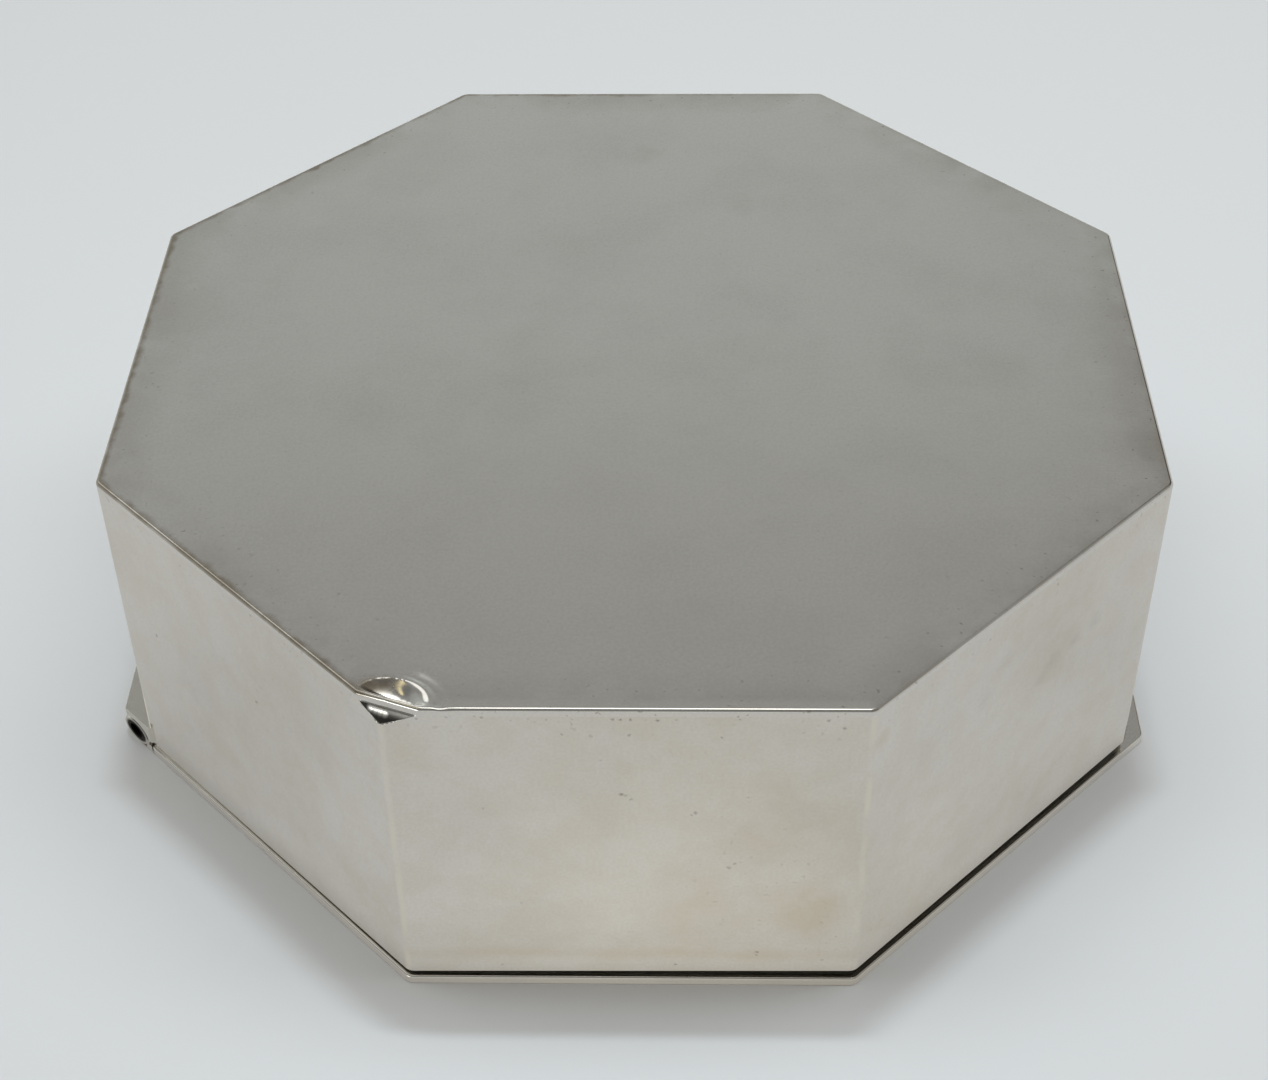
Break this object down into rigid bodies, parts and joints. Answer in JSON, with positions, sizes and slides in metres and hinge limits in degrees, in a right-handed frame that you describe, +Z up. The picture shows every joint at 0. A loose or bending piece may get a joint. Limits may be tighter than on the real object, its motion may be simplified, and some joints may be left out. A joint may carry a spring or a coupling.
{
  "type": "octagonal hinged box",
  "caption": "Octagonal polished silver box with a deep folded body, a flat hinged lid with a thumb lip and a mitred barrel hinge, standing upside down on its lid.",
  "frame": {"origin": "middle of the lid's flat outer face, on the surface that the box stands on", "axes": "+Z up, from the lid to the closed base, because the box is stored upside down as pictured; the hinge runs along the -X side and the thumb lip along the +X side; -Y is the side towards the camera"},
  "size_m": [0.1371, 0.1308, 0.047],
  "materials": {
    "polished_silver": "polished",
    "inner_silver": "gloss",
    "hinge_silver": "gloss"
  },
  "bodies": {
    "lid": {"lid_plate": "polished_silver", "lid_flange": "inner_silver", "lid_hinge_bearer": "hinge_silver", "lid_knuckle_1": "hinge_silver", "lid_knuckle_2": "hinge_silver"},
    "box_body": {"base_plate": "polished_silver", "side_band": "polished_silver", "body_hinge_bearer": "hinge_silver", "body_knuckle_1": "hinge_silver", "body_knuckle_2": "hinge_silver", "body_knuckle_3": "hinge_silver", "hinge_pin": "hinge_silver"}
  },
  "joints": [
    {"name": "lid_hinge", "type": "hinge", "parent": "lid", "child": "box_body", "pos_m": [-0.0674, 0, 0.00185], "axis": [0, -1, 0], "range_deg": [0, 95]}
  ]
}
